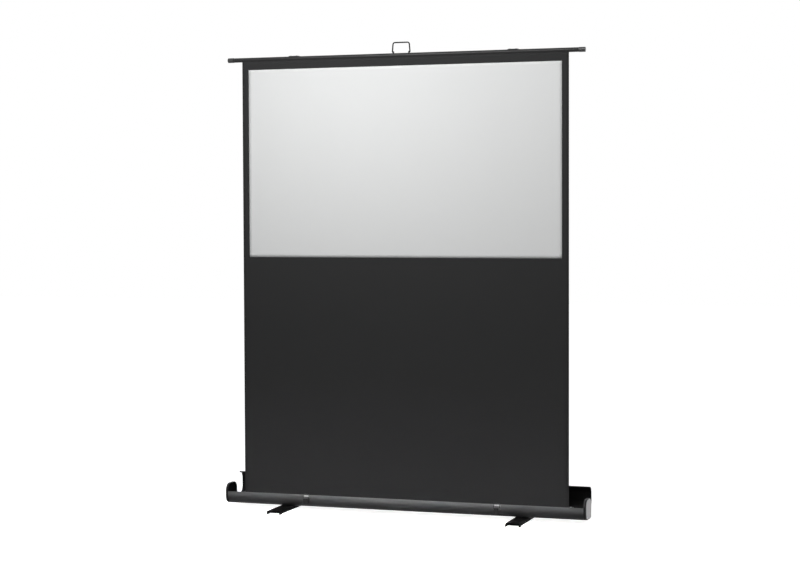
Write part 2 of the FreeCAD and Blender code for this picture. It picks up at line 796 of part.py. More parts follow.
def make_handle():
    half, top_half = "handle_width / 2", "handle_top_width / 2"
    lean_x, lean_z = "sin(handle_lean)", "cos(handle_lean)"
    right = [
        (f"{half} - handle_stub", "0"),
        (f"{half} - foot_turn", "0"),
        (f"{half} - foot_turn * {lean_x}", f"foot_turn * {lean_z}", "handle_foot_bend"),
        (f"{top_half} + top_turn * {lean_x}", f"handle_height - top_turn * {lean_z}"),
        (f"{top_half} - top_turn", "handle_height", "handle_bend"),
    ]
    left = [(f"-({u})", v) for u, v, *_ in reversed(right)]
    left[1] += ("handle_bend",)
    left[3] += ("handle_foot_bend",)
    keep(pipe("handle_wire", right + left, (f"{half} - handle_stub", "0"), "wire_radius",
              y="bar_y", z="handle_z"))
    lugs = []
    for name, side in SIDES:
        centre = f"{side} * (handle_width / 2 - foot_turn - lug_gap - lug_width / 2)"
        low = (f"{centre} - lug_width / 2", "bar_y - lug_depth / 2", "bar_z")
        high = (f"{centre} + lug_width / 2", "bar_y + lug_depth / 2", "handle_z")
        eye = rod(f"{name}_lug_eye", "x", "wire_radius + lug_wall", "lug_width", centre, "bar_y", "handle_z")
        block = join(f"{name}_lug_block", [box(f"{name}_lug_base", low, high), eye])
        bored = cut(f"{name}_lug_bored", block, bore(
            f"{name}_lug_bore", "x", "wire_radius + pin_fit", "3 * lug_width", centre, "bar_y", "handle_z"))
        lugs.append(cut(f"{name}_lug", bored, bore(
            f"{name}_lug_seat", "x", "bar_radius", "3 * lug_width", centre, "bar_y", "bar_z")))
    keep(group("handle_lugs", lugs))


def make_roller():
    tube = new_body("roller_tube", y="roller_y", z="roller_z")
    pad(tube, "YZ", [("0", "0", "roller_radius"), ("0", "0", "roller_inside")], "roller_length")
    keep(tube)
    wrap = new_body("cloth_wrap", y="roller_y", z="roller_z")
    pad(wrap, "YZ", [("0", "0", "roller_radius + wrap_thickness"), ("0", "0", "roller_radius")],
        "cloth_width")
    keep(wrap)
    lip = "roller_radius + plug_flange_lip"
    keep(stepped("roller_left_plug", "x", [
        ("-plug_length", "0", "roller_inside"),
        ("0", "plug_flange", lip),
        ("plug_flange", "plug_flange + roller_bracket_gap + roller_bracket_thickness", "gudgeon_radius"),
    ], -1, CAP_SIDES, x="-roller_length / 2", y="roller_y", z="roller_z"))
    plug = stepped("right_plug_blank", "x", [
        ("-plug_length", "-plug_length / 2", "spring_radius - spring_wire"),
        ("-plug_length / 2", "0", "roller_inside"),
        ("0", "plug_flange", lip),
    ], 1, CAP_SIDES, x="roller_length / 2", y="roller_y", z="roller_z")
    hole = bore("right_plug_bore", "x", "arbor_radius + pin_fit", "4 * plug_length",
                "roller_length / 2", "roller_y", "roller_z")
    keep(cut("roller_right_plug", plug, hole))
    outer = "roller_end + roller_bracket_gap + roller_bracket_thickness"
    keep(rod("spring_arbor", "x", "arbor_radius", "arbor_length", f"{outer} - arbor_length / 2",
             "roller_y", "roller_z"))
    spring = new_body("roller_spring", x="roller_length / 2 - plug_length / 2 - spring_length / 2",
                      y="roller_y", z="roller_z")
    pad(spring, "YZ", [("0", "0", "spring_radius"), ("0", "0", "spring_radius - spring_wire")],
        "spring_length")
    keep(spring)
    for name, side in SIDES:
        make_roller_bracket(name, side)


def make_roller_bracket(name, side):
    inner = "roller_end + roller_bracket_gap"
    bracket = new_body(f"{name}_roller_bracket", x=f"{side} * ({inner} + roller_bracket_thickness / 2)")
    half = "roller_bracket_width / 2"
    hole = "gudgeon_radius + pin_fit" if side < 0 else "arbor_radius"
    pad(bracket, "YZ", [[
        (f"roller_y - {half}", "floor_top"),
        (f"roller_y + {half}", "floor_top"),
        (f"roller_y + {half}", "roller_z"),
        ("roller_y", f"roller_z + {half}", half),
        (f"roller_y - {half}", "roller_z", half),
    ], many_sided(hole, "roller_y", "roller_z")], "roller_bracket_thickness")
    step = "(roller_bracket_thickness / 2 + roller_bracket_foot)"
    pad(bracket, "XY", [[
        ("0", f"roller_y - {half}"),
        (f"{side} * {step}", f"roller_y - {half}"),
        (f"{side} * {step}", f"roller_y + {half}"),
        ("0", f"roller_y + {half}"),
    ]], "roller_bracket_thickness", lift="floor_top + roller_bracket_thickness / 2")
    keep(bracket)


def make_latches():
    bases, pins = [], []
    for name, side in SIDES:
        x = f"{side} * latch_x"
        bases.append(latch_base(name, x))
        pins.append(rod(f"{name}_latch_pin", "x", "latch_pin_radius", "2 * lever_half_width", x,
                        "latch_pivot_y", "latch_pivot_z"))
        keep(latch_lever(name, x))
        keep(latch_bail(name, x))
    keep(group("latch_bases", bases))
    keep(group("latch_pins", pins))


def latch_base(name, x):
    top = "front_top - latch_top_gap"
    wall = "casing_front"
    pieces = [box(f"{name}_latch_plate",
                  (f"{x} - latch_width / 2", f"{wall} - latch_plate", f"{top} - latch_plate_height"),
                  (f"{x} + latch_width / 2", wall, top))]
    for s in (-1, 1):
        middle = f"{x} + {s} * (latch_ear_x + latch_ear_width / 2)"
        pieces.append(box(
            f"{name}_latch_ear",
            (f"{middle} - latch_ear_width / 2", "latch_pivot_y", "latch_pivot_z - latch_ear_radius"),
            (f"{middle} + latch_ear_width / 2", wall, "latch_pivot_z + latch_ear_radius")))
        pieces.append(rod(f"{name}_latch_ear_end", "x", "latch_ear_radius", "latch_ear_width", middle,
                          "latch_pivot_y", "latch_pivot_z"))
    return cut(f"{name}_latch_base", join(f"{name}_latch_blank", pieces), bore(
        f"{name}_latch_bore", "x", "latch_pin_radius", "latch_width", x, "latch_pivot_y", "latch_pivot_z"))


def latch_lever(name, x):
    face = "latch_pivot_y - lever_standoff"
    top, low = "latch_pivot_z + lever_top", "latch_pivot_z - lever_reach"
    tongue = box(f"{name}_lever_tongue", (f"{x} - lever_half_width", f"{face} - lever_sheet", low),
                 (f"{x} + lever_half_width", face, top))
    cheeks = []
    for s in (-1, 1):
        middle = f"{x} + {s} * (lever_half_width - lever_sheet / 2)"
        cheeks.append(box(
            f"{name}_lever_cheek",
            (f"{middle} - lever_sheet / 2", f"{face} - lever_sheet", "latch_pivot_z - lever_cheek_drop"),
            (f"{middle} + lever_sheet / 2", "bail_y + bail_wire + lever_cheek_margin", "latch_pivot_z")))
        cheeks.append(rod(f"{name}_lever_eye", "x", "lever_standoff", "lever_sheet", middle,
                          "latch_pivot_y", "latch_pivot_z"))
    holes = [bore(f"{name}_lever_pin_hole", "x", "latch_pin_radius + pin_fit", "latch_width", x,
                  "latch_pivot_y", "latch_pivot_z"),
             bore(f"{name}_lever_bail_hole", "x", "bail_stub + pin_fit", "latch_width", x,
                  "bail_y", "bail_z")]
    return cut(f"{name}_latch_lever", join(f"{name}_lever_blank", [tongue] + cheeks),
               join(f"{name}_lever_holes", holes))


def latch_bail(name, x):
    """A stamped loop whose two inward stubs turn in the lever's cheeks."""
    bail = new_body(f"{name}_latch_bail", x=x, y="bail_y", z="bail_z")
    outer, inner = "(bail_half + bail_wire)", "(bail_half - bail_wire)"
    bend, shoulder = "(bail_half - bail_bend)", "bail_height - bail_bend"
    low, high = "bail_height - bail_wire", "bail_height + bail_wire"
    pad(bail, "XZ", [[
        (f"-{outer}", "-bail_wire"),
        (f"-{inner}", "-bail_wire"),
        (f"-{inner}", shoulder),
        (f"-{bend}", low, "-(bail_bend - bail_wire)"),
        (bend, low),
        (inner, shoulder, "-(bail_bend - bail_wire)"),
        (inner, "-bail_wire"),
        (outer, "-bail_wire"),
        (outer, shoulder),
        (bend, high, "bail_bend + bail_wire"),
        (f"-{bend}", high),
        (f"-{outer}", shoulder, "bail_bend + bail_wire"),
    ]], "2 * bail_wire")
    for side in (-1, 1):
        pad(bail, "YZ", [("0", "0", "bail_stub")], "bail_half - lever_half_width + lever_sheet",
            lift=f"{side} * (bail_half + lever_half_width - lever_sheet) / 2")
    return bail


def make_feet():
    bolts, spacers, nuts = [], [], []
    for name, side in SIDES:
        x = f"{side} * foot_x"
        make_foot(name, x)
        head_top = "foot_top_z - slide_gap"
        bolts.append(stepped(f"{name}_foot_bolt", "z", [
            (f"{head_top} - foot_bolt_head_height", head_top, "foot_bolt_head"),
            (head_top, "floor_top + nut_height", "foot_bolt_radius"),
        ], x=x))
        middle = "casing_bottom - (foot_spacer - slide_gap) / 2"
        disc = rod(f"{name}_spacer_disc", "z", "spacer_radius", "foot_spacer - slide_gap", x, "0", middle,
                   CAP_SIDES)
        spacers.append(cut(f"{name}_foot_spacer", disc, bore(
            f"{name}_spacer_bore", "z", "foot_bolt_radius + fit_gap", "4 * foot_spacer", x, "0", middle)))
        middle = "floor_top + nut_height / 2"
        hexagon = bore(f"{name}_nut_hexagon", "z", "nut_width / 2", "nut_height", x, "0", middle, sides=6)
        nuts.append(cut(f"{name}_foot_nut", hexagon, bore(
            f"{name}_nut_bore", "z", "foot_bolt_radius", "4 * nut_height", x, "0", middle)))
    keep(group("foot_bolts", bolts))
    keep(group("foot_spacers", spacers))
    keep(group("foot_nuts", nuts))


def make_foot(name, x):
    """An inverted tray that swivels under the casing, with short end lips, on rubber shoes at its corners."""
    foot = new_body(f"{name}_foot", x=x)
    half, wall = "foot_width / 2", "foot_sheet"
    inner_edge = "(foot_edge - foot_sheet)"
    pad(foot, "XZ", [[
        (f"-{half}", "pad_sole"),
        (f"{wall} - {half}", "pad_sole"),
        (f"{wall} - {half}", "foot_height - foot_edge"),
        (f"foot_edge - {half}", "foot_top_z", f"-{inner_edge}"),
        (f"{half} - foot_edge", "foot_top_z"),
        (f"{half} - {wall}", "foot_height - foot_edge", f"-{inner_edge}"),
        (f"{half} - {wall}", "pad_sole"),
        (half, "pad_sole"),
        (half, "foot_height - foot_edge"),
        (f"{half} - foot_edge", "foot_height", "foot_edge"),
        (f"foot_edge - {half}", "foot_height"),
        (f"-{half}", "foot_height - foot_edge", "foot_edge"),
    ]], "foot_length")
    for end in (-1, 1):
        pad(foot, "XZ", [[
            (f"{wall} - {half}", "foot_height - foot_lip"),
            (f"{half} - {wall}", "foot_height - foot_lip"),
            (f"{half} - {wall}", "foot_top_z"),
            (f"{wall} - {half}", "foot_top_z"),
        ]], wall, lift=f"{end} * (foot_length - {wall}) / 2")
    pocket(foot, "XY", [many_sided("foot_bolt_radius + pin_fit")], "4 * foot_sheet", lift="foot_height")
    keep(foot)
    shoes = []
    for i, (sx, sy) in enumerate(((-1, -1), (1, -1), (-1, 1), (1, 1))):
        middle_x = f"{x} + {sx} * (foot_width / 2 - foot_sheet / 2)"
        middle_y = f"{sy} * (foot_length / 2 - pad_inset - pad_length / 2)"
        shoe = box(f"{name}_shoe_{i}",
                   (f"{middle_x} - pad_width / 2", f"{middle_y} - pad_length / 2", "0"),
                   (f"{middle_x} + pad_width / 2", f"{middle_y} + pad_length / 2", "pad_height"))
        groove = box(f"{name}_groove_{i}",
                     (f"{middle_x} - foot_sheet / 2", f"{middle_y} - pad_length", "pad_sole"),
                     (f"{middle_x} + foot_sheet / 2", f"{middle_y} + pad_length", "2 * pad_height"))
        shoes.append(cut(f"{name}_pad_{i}", shoe, groove))
    keep(group(f"{name}_foot_pads", shoes))


def check_and_write():
    doc.recompute()
    for thing in doc.Objects:
        if "Invalid" in thing.State or "Error" in thing.State:
            raise RuntimeError(f"{thing.Label} did not build: {thing.State}")
    for node in nodes:
        if node.Shape.isNull() or not node.Shape.isValid() or not node.Shape.Solids:
            raise RuntimeError(f"{node.Label} is not a valid solid")
    os.makedirs("parts", exist_ok=True)
    for node in nodes:
        node.Shape.exportStep(f"parts/{node.Label}.step")
    print(f"{len(nodes)} pieces written")


fill_sheet()
make_casing_front()
make_casing_floor()
make_casing_rear()
make_lid()
make_keepers()
for side_name, side_sign in SIDES:
    make_end(side_name, side_sign)
make_end_screws()
make_cloth()
make_bar()
make_arms()
make_handle()
make_roller()
make_latches()
make_feet()
check_and_write()
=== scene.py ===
import json
import math

import bmesh
import bpy
from mathutils import Matrix, Vector


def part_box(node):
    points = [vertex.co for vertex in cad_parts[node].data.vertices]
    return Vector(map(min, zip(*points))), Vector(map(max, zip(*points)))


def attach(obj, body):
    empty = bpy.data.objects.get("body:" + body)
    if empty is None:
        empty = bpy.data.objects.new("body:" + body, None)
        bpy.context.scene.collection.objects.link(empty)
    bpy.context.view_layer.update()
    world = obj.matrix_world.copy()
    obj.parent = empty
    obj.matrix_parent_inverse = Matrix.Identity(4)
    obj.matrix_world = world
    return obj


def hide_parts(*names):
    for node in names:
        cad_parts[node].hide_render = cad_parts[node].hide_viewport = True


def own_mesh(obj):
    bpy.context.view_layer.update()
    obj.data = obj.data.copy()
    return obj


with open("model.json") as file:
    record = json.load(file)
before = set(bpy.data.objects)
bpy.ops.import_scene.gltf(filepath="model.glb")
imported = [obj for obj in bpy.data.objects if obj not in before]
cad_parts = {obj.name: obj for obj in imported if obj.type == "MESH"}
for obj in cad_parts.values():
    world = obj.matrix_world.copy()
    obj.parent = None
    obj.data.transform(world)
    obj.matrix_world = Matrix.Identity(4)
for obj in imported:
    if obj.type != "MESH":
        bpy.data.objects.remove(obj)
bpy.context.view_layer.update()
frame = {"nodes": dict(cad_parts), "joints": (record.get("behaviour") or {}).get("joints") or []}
print("frame loaded")

# Lengths are metres, angles are degrees and colours are linear.
# The picture faces -Y and the floor is Z = 0.


# Shared shader groups: each varies a tint and a roughness round their written values
grainShape = {
    "coat": {"mean": 1, "depth": 0.0004, "detail": 3, "broadScale": 9},
    "brushed": {"mean": 0.5, "depth": 0.0002, "detail": 4, "stretch": (1, 1, 40)},
    "cloth": {"mean": 0.75, "depth": 0.0002, "cloudScale": 6},
}
grainSockets = (
    ("Vector", "NodeSocketVector"), ("Tint", "NodeSocketColor"), ("Scale", "NodeSocketFloat"),
    ("Spread", "NodeSocketFloat"), ("Relief", "NodeSocketFloat"),
    ("Roughness", "NodeSocketFloat"))
grainResults = (
    ("Colour", "NodeSocketColor"), ("Roughness", "NodeSocketFloat"),
    ("Normal", "NodeSocketVector"))


def newGroup(name):
    tree = bpy.data.node_groups.new(name, "ShaderNodeTree")
    for title, kind in grainSockets:
        tree.interface.new_socket(title, in_out="INPUT", socket_type=kind)
    for title, kind in grainResults:
        tree.interface.new_socket(title, in_out="OUTPUT", socket_type=kind)
    return tree, tree.nodes.new("NodeGroupInput"), tree.nodes.new("NodeGroupOutput")


def addMath(tree, operation, first, second):
    node = tree.nodes.new("ShaderNodeMath")
    node.operation = operation
    for socket, value in zip(node.inputs, (first, second)):
        if isinstance(value, (int, float)):
            socket.default_value = value
        else:
            tree.links.new(value, socket)
    return node.outputs[0]


def addTexture(tree, kind, vector):
    texture = tree.nodes.new(kind)
    tree.links.new(vector, texture.inputs["Vector"])
    return texture


def finishGrain(tree, given, result, pattern, height, settings):
    swing = addMath(tree, "SUBTRACT", pattern, settings["mean"])
    level = addMath(tree, "ADD", addMath(tree, "MULTIPLY", swing, given.outputs["Spread"]), 1)
    tinted = tree.nodes.new("ShaderNodeVectorMath")
    tinted.operation = "SCALE"
    tree.links.new(given.outputs["Tint"], tinted.inputs[0])
    tree.links.new(level, tinted.inputs["Scale"])
    rough = addMath(tree, "MULTIPLY", given.outputs["Roughness"], level)
    bump = tree.nodes.new("ShaderNodeBump")
    bump.inputs["Distance"].default_value = settings["depth"]
    tree.links.new(given.outputs["Relief"], bump.inputs["Strength"])
    tree.links.new(height, bump.inputs["Height"])
    tree.links.new(tinted.outputs[0], result.inputs["Colour"])
    tree.links.new(rough, result.inputs["Roughness"])
    tree.links.new(bump.outputs[0], result.inputs["Normal"])
    return tree


def makeCoatGrain():
    settings = grainShape["coat"]
    tree, given, result = newGroup("coatGrain")
    fine = addTexture(tree, "ShaderNodeTexNoise", given.outputs["Vector"])
    fine.inputs["Detail"].default_value = settings["detail"]
    tree.links.new(given.outputs["Scale"], fine.inputs["Scale"])
    broad = addTexture(tree, "ShaderNodeTexNoise", given.outputs["Vector"])
    broad.inputs["Scale"].default_value = settings["broadScale"]
    both = addMath(tree, "ADD", fine.outputs["Fac"], broad.outputs["Fac"])
    return finishGrain(tree, given, result, both, fine.outputs["Fac"], settings)


def makeBrushedGrain():
    settings = grainShape["brushed"]
    tree, given, result = newGroup("brushedGrain")
    stretch = addTexture(tree, "ShaderNodeMapping", given.outputs["Vector"])
    stretch.inputs["Scale"].default_value = settings["stretch"]
    streak = addTexture(tree, "ShaderNodeTexNoise", stretch.outputs[0])
    streak.inputs["Detail"].default_value = settings["detail"]
    tree.links.new(given.outputs["Scale"], streak.inputs["Scale"])
    return finishGrain(tree, given, result, streak.outputs["Fac"], streak.outputs["Fac"], settings)


def makeClothGrain():
    settings = grainShape["cloth"]
    tree, given, result = newGroup("clothGrain")
    threads = []
    for direction in ("X", "Y"):
        wave = addTexture(tree, "ShaderNodeTexWave", given.outputs["Vector"])
        wave.bands_direction = direction
        tree.links.new(given.outputs["Scale"], wave.inputs["Scale"])
        threads.append(wave.outputs["Fac"])
    weave = addMath(tree, "MULTIPLY", *threads)
    cloud = addTexture(tree, "ShaderNodeTexNoise", given.outputs["Vector"])
    cloud.inputs["Scale"].default_value = settings["cloudScale"]
    both = addMath(tree, "ADD", weave, cloud.outputs["Fac"])
    return finishGrain(tree, given, result, both, weave, settings)


coatGrain = makeCoatGrain()
brushedGrain = makeBrushedGrain()
clothGrain = makeClothGrain()
print("shader groups made")

# Materials and meshes, as every piece makes them
plainLook = {"metallic": 0, "specular": 0.5}


def makeMaterial(ownLook, grain, coordinate="Object"):
    look = {**plainLook, **ownLook}
    material = bpy.data.materials.new(look["name"])
    material.use_nodes = True
    tree = material.node_tree
    shader = tree.nodes["Principled BSDF"]
    place = tree.nodes.new("ShaderNodeTexCoord")
    group = tree.nodes.new("ShaderNodeGroup")
    group.node_tree = grain
    tree.links.new(place.outputs[coordinate], group.inputs["Vector"])
    group.inputs["Tint"].default_value = (*look["tint"], 1)
    for title in ("Scale", "Spread", "Relief", "Roughness"):
        group.inputs[title].default_value = look[title.lower()]
    tree.links.new(group.outputs["Colour"], shader.inputs["Base Color"])
    tree.links.new(group.outputs["Roughness"], shader.inputs["Roughness"])
    tree.links.new(group.outputs["Normal"], shader.inputs["Normal"])
    shader.inputs["Metallic"].default_value = look["metallic"]
    shader.inputs["Specular IOR Level"].default_value = look["specular"]
    return material


def paint(material, *nodes):
    for name in nodes:
        mesh = frame["nodes"][name].data
        mesh.materials.clear()
        mesh.materials.append(material)


def addPiece(name, shape, material):
    mesh = bpy.data.meshes.new(name)
    shape.to_mesh(mesh)
    shape.free()
    mesh.materials.append(material)
    piece = bpy.data.objects.new(name, mesh)
    bpy.context.scene.collection.objects.link(piece)
    return piece


def onlyVerts(parts):
    return [part for part in parts if isinstance(part, bmesh.types.BMVert)]


def lastRing(parts):
    verts = set(onlyVerts(parts))
    edges = [part for part in parts if isinstance(part, bmesh.types.BMEdge)]
    return [edge for edge in edges if verts.issuperset(edge.verts)]


def drawOn(shape, ring, run):
    parts = bmesh.ops.extrude_edge_only(shape, edges=ring)["geom"]
    bmesh.ops.translate(shape, vec=run, verts=onlyVerts(parts))
    return lastRing(parts)


def jointNamed(name):
    return next(joint for joint in frame["joints"] if joint["name"] == name)


# Casing and lid: extruded aluminium under one black satin coat, drawn as a lit copy and a shaded
# copy
# Painted sheen: the casing's coat is a grey tint, lighter than the black paint, so that its lit
# band comes out bright
sheenCasingLook = {"name": "sheenSatinCoat", "tint": (0.125, 0.126, 0.128), "scale": 1400, "spread": 0.08,
              "relief": 0.05, "roughness": 0.42, "specular": 0.04}
sheenSatinCoat = makeMaterial(sheenCasingLook, coatGrain)
paint(sheenSatinCoat, "casing_floor", "casing_rear")
# Painted shade: the lid's coat is near-black, far darker than the casing's, to stand in for the
# shade inside the open lid
shadedLidLook = {"name": "shadedLidCoat", "tint": (0.008, 0.008, 0.0081), "scale": 1400, "spread": 0.08,
           "relief": 0.05, "roughness": 0.55, "specular": 0.06}
paint(makeMaterial(shadedLidLook, coatGrain), "lid_shell")

# Casing front: one long wall, bowed back to its lip and rounded down to the floor's seam
frontShape = {"wall": 0.002, "lean": 18, "rise": 0.008, "steps": 12, "merge": 0.000001,
              "endFacing": 0.5, "lipMatch": 0.02}
frontLow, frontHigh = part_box("casing_front")
frontLength = frontHigh.x - frontLow.x
frontLean = math.radians(frontShape["lean"])
frontCorner = frontHigh.y - frontLow.y
frontMiddle = frontLow.z + frontCorner + frontShape["rise"]
frontBow = (frontHigh.z - frontMiddle) / math.sin(frontLean)


def bowFront():
    shape = bmesh.new()
    start = shape.verts.new((frontLow.x, frontLow.y, frontMiddle))
    for radius, angle in ((frontCorner, math.pi / 2), (frontBow, -frontLean)):
        bmesh.ops.spin(shape, geom=[start], cent=(frontLow.x, frontLow.y + radius, frontMiddle),
                       axis=(1, 0, 0), angle=angle, steps=frontShape["steps"])
    lower = [vert for vert in shape.verts if vert.co.z < frontMiddle]
    bmesh.ops.scale(shape, vec=(1, 1, 1 + frontShape["rise"] / frontCorner), verts=lower,
                    space=Matrix.Translation((0, 0, -frontMiddle)))
    drawOn(shape, shape.edges[:], (frontLength, 0, 0))
    bmesh.ops.remove_doubles(shape, verts=shape.verts[:], dist=frontShape["merge"])
    bmesh.ops.recalc_face_normals(shape, faces=shape.faces[:])
    shape.normal_update()
    outward = -1 if shape.faces[0].normal.y < 0 else 1
    bmesh.ops.solidify(shape, geom=shape.faces[:], thickness=outward * frontShape["wall"])
    bmesh.ops.recalc_face_normals(shape, faces=shape.faces[:])
    lipArea = frontShape["wall"] * frontLength
    for face in shape.faces:
        lip = math.isclose(face.calc_area(), lipArea, rel_tol=frontShape["lipMatch"])
        face.smooth = abs(face.normal.x) < frontShape["endFacing"] and not lip
    front = addPiece("bowedFront", shape, sheenSatinCoat)
    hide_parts("casing_front")
    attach(front, "casing")


bowFront()
print("casing front bowed")

# End caps, plugs and spacers: moulded black plastic, glossier on the ends of the bar
plasticLook = {"name": "mouldedPlastic", "tint": (0.011, 0.011, 0.0115), "scale": 900,
               "spread": 0.1, "relief": 0.12, "roughness": 0.5, "specular": 0.12}
paint(makeMaterial(plasticLook, coatGrain), "left_end_cap", "right_end_cap", "roller_left_plug",
      "roller_right_plug", "foot_spacers")
capLook = {"name": "glossPlastic", "tint": (0.018, 0.018, 0.0185), "scale": 900, "spread": 0.1,
           "relief": 0.05, "roughness": 0.26, "specular": 0.5}
paint(makeMaterial(capLook, coatGrain), "left_bar_cap", "right_bar_cap")

# Top bar and folding arms: drawn aluminium, black
barLook = {"name": "barCoat", "tint": (0.018, 0.018, 0.0183), "scale": 1100, "spread": 0.08,
           "relief": 0.02, "roughness": 0.28, "specular": 0.22}
paint(makeMaterial(barLook, coatGrain), "bar_tube")
armLook = {"name": "anodisedArm", "tint": (0.035, 0.035, 0.037), "scale": 160, "spread": 0.25,
           "relief": 0.04, "roughness": 0.38, "metallic": 0.4}
paint(makeMaterial(armLook, brushedGrain), "lower_left_arm", "upper_left_arm", "lower_right_arm",
      "upper_right_arm")

# Saddles, arm brackets, lugs, keepers and feet: painted steel
paintLook = {"name": "paintedSteel", "tint": (0.02, 0.02, 0.021), "scale": 700, "spread": 0.12,
             "relief": 0.1, "roughness": 0.42, "specular": 0.3}
paint(makeMaterial(paintLook, coatGrain), "left_saddle", "right_saddle", "left_arm_bracket",
      "right_arm_bracket", "handle_lugs", "latch_keepers")
footLook = {"name": "footPaint", "tint": (0.004, 0.004, 0.0041), "scale": 600, "spread": 0.15,
            "relief": 0.14, "roughness": 0.6, "specular": 0.01}
paint(makeMaterial(footLook, coatGrain), "left_foot", "right_foot")

# Bare and plated metal: end faces, fasteners, latches, roller brackets, pins and roller
faceLook = {"name": "brushedFace", "tint": (0.235, 0.237, 0.241), "scale": 30, "spread": 0.22,
            "relief": 0.05, "roughness": 0.36, "metallic": 1}
paint(makeMaterial(faceLook, brushedGrain), "left_end_face", "right_end_face")
zincLook = {"name": "zincPlate", "tint": (0.52, 0.52, 0.53), "scale": 260, "spread": 0.15,
            "relief": 0.05, "roughness": 0.3, "metallic": 1}
zincPlate = makeMaterial(zincLook, coatGrain)
paint(zincPlate, "end_screws", "foot_bolts", "foot_nuts")
# Painted shade: chrome latch levers and bails and zinc roller brackets are drawn near-black,
# standing in for dark reflections on the latches and the shade on the brackets in the trough
shadedLatchLook = {"name": "shadedPlate", "tint": (0.03, 0.03, 0.0305), "scale": 260, "spread": 0.15,
             "relief": 0.05, "roughness": 0.3, "metallic": 1}
paint(makeMaterial(shadedLatchLook, coatGrain), "left_latch_lever", "right_latch_lever",
      "left_latch_bail", "right_latch_bail", "left_roller_bracket", "right_roller_bracket")
plateLook = {"name": "platedSheet", "tint": (0.55, 0.55, 0.555), "scale": 200, "spread": 0.12,
             "relief": 0.04, "roughness": 0.26, "metallic": 1}
paint(makeMaterial(plateLook, coatGrain), "latch_bases")
steelLook = {"name": "brightSteel", "tint": (0.45, 0.45, 0.46), "scale": 200, "spread": 0.12,
             "relief": 0.04, "roughness": 0.26, "metallic": 1}
brightSteel = makeMaterial(steelLook, coatGrain)
paint(brightSteel, "base_pins", "top_pins", "left_elbow_pin", "right_elbow_pin", "spring_arbor",
      "roller_spring", "hem_rod", "latch_pins")
# Painted shade: the roller tube is drawn much darker than bare aluminium, for the shade down in the
# trough
shadedRollerLook = {"name": "shadedRollerTube", "tint": (0.15, 0.15, 0.153), "scale": 40, "spread": 0.18,
              "relief": 0.04, "roughness": 0.34, "metallic": 1}
paint(makeMaterial(shadedRollerLook, brushedGrain), "roller_tube")

# Rubber: shoes under the feet, and pads between the latch plates and the bowed front
rubberLook = {"name": "rubberShoe", "tint": (0.016, 0.016, 0.016), "scale": 420, "spread": 0.2,
              "relief": 0.2, "roughness": 0.75, "specular": 0.1}
rubberShoe = makeMaterial(rubberLook, coatGrain)
paint(rubberShoe, "left_foot_pads", "right_foot_pads")
padShape = {"sunk": 0.0006, "inset": 0.0002, "onWall": 0.00001}


def padLatches():
    wall = frontLow.y
    plates = frame["nodes"]["latch_bases"].data
    rear = [vert.co for vert in plates.vertices if abs(vert.co.y - wall) < padShape["onWall"]]
    shape = bmesh.new()
    for side in (-1, 1):
        spots = [spot for spot in rear if spot.x * side > 0]
        left = min(spot.x for spot in spots) + padShape["inset"]
        right = max(spot.x for spot in spots) - padShape["inset"]
        bottom = min(spot.z for spot in spots) + padShape["inset"]
        top = min(max(spot.z for spot in spots), frontHigh.z) - padShape["inset"]
        for vert in bmesh.ops.create_cube(shape, size=1)["verts"]:
            x = left if vert.co.x < 0 else right
            z = bottom if vert.co.z < 0 else top
            hollow = frontBow - math.sqrt(frontBow ** 2 - (z - frontMiddle) ** 2)
            y = wall if vert.co.y < 0 else wall + hollow + padShape["sunk"]
            vert.co = (x, y, z)
    bmesh.ops.recalc_face_normals(shape, faces=shape.faces[:])
    pads = addPiece("latchPads", shape, rubberShoe)
    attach(pads, "casing")


padLatches()
print("hard pieces painted")

# Cloth: a stretched black sheet, with the white picture layer on its front
clothLook = {"name": "blackCloth", "tint": (0.037, 0.037, 0.0375), "scale": 420, "spread": 0.06,
             "relief": 0.002, "roughness": 0.82, "specular": 0.06}
pictureLook = {"name": "whiteCoat", "tint": (0.8, 0.808, 0.806), "scale": 520, "spread": 0.012,
               "relief": 0.001, "roughness": 0.7, "specular": 0.1}
clothShape = {"columns": 96, "rows": 124, "pictureRows": 62, "bulge": 0.0004, "curl": 0.0004,
              "curlWidth": 0.07, "ripple": 0.0001, "rippleTurns": 5, "pictureGap": 0.0001,
              "rolledAway": 0.001, "flatFacing": 0.5}
blackCloth = makeMaterial(clothLook, clothGrain, "UV")
whiteCoat = makeMaterial(pictureLook, clothGrain, "UV")
paint(blackCloth, "screen_cloth", "cloth_wrap")
paint(whiteCoat, "picture_surface")

clothLow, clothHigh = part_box("screen_cloth")
pictureLow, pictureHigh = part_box("picture_surface")


def clothDepth(x, z):
    rise = (z - clothLow.z) / (clothHigh.z - clothLow.z)
    slack = math.sin(math.pi * min(max(rise, 0), 1))
    half = clothHigh.x
    edge = max(0, abs(x) - half + clothShape["curlWidth"]) / clothShape["curlWidth"]
    bulge = clothShape["bulge"] * math.cos(math.pi * x / (2 * half))
    ripple = clothShape["ripple"] * math.sin(2 * math.pi * clothShape["rippleTurns"] * x / half)
    return slack * (clothShape["curl"] * edge ** 2 - bulge + ripple * edge)


def makeSheet(name, low, high, rows, offset, material):
    half = 0.5
    shape = bmesh.new()
    bmesh.ops.create_grid(shape, x_segments=clothShape["columns"], y_segments=rows, size=half)
    for vert in shape.verts:
        x = low.x + (vert.co.x + half) * (high.x - low.x)
        z = low.z + (vert.co.y + half) * (high.z - low.z)
        vert.co = (x, low.y + offset + clothDepth(x, z), z)
    shape.normal_update()
    bmesh.ops.solidify(shape, geom=shape.faces[:], thickness=-(high.y - low.y))
    bmesh.ops.recalc_face_normals(shape, faces=shape.faces[:])
    flat = shape.loops.layers.uv.new("flat")
    for face in shape.faces:
        face.smooth = abs(face.normal.y) > clothShape["flatFacing"]
        for loop in face.loops:
            loop[flat].uv = (loop.vert.co.x - low.x, loop.vert.co.z - low.z)
    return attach(addPiece(name, shape, material), "casing")


